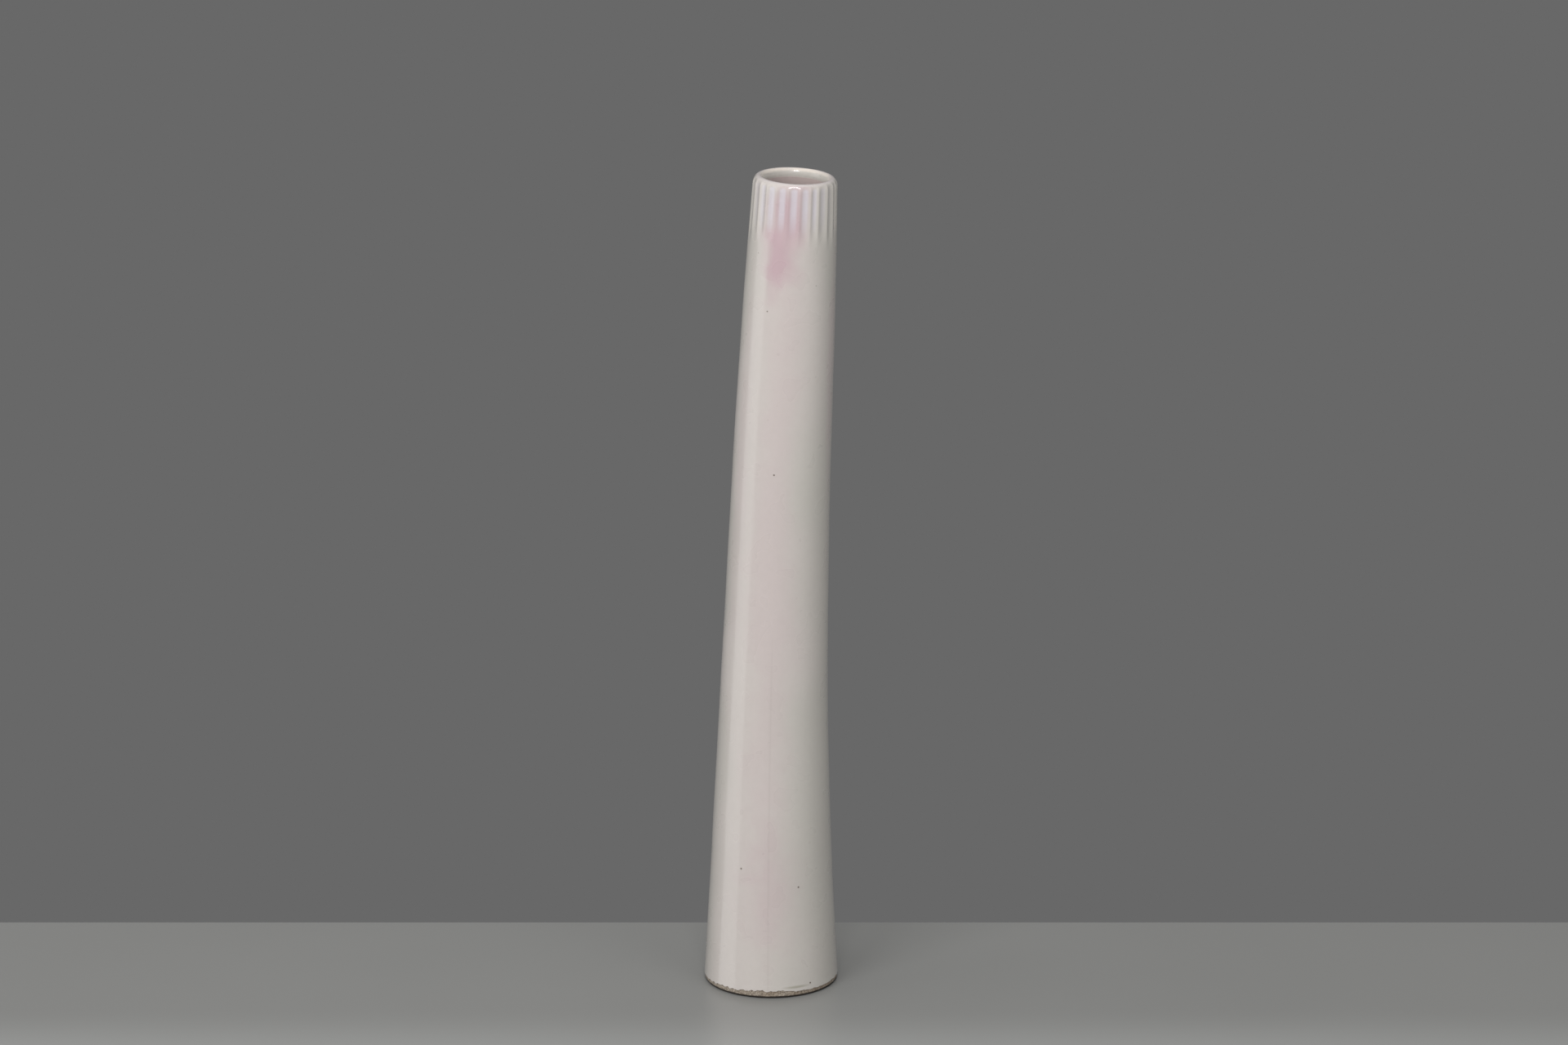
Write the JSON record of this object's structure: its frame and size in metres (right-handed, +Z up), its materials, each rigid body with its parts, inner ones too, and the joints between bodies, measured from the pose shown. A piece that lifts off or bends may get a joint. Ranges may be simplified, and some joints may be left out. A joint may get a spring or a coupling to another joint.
{
  "type": "vase",
  "caption": "Tall slender tapering ceramic vase, leaning slightly, with cut flutes round the neck, pearly white glaze with a pink lustre and a bare clay foot.",
  "frame": {"origin": "centre of the round foot, on the ground it stands on", "axes": "+Z up the vase, +X the side it leans to, -Y its front"},
  "size_m": [0.0646, 0.0646, 0.4009],
  "materials": {
    "bare_clay": "matte, grainy, unglazed",
    "pearl_glaze": "glossy with a pink lustre",
    "inside_glaze": "glossy"
  },
  "bodies": {
    "root": {"clay_body": "bare_clay", "outer_glaze": "pearl_glaze", "inner_glaze": "inside_glaze"}
  },
  "joints": []
}
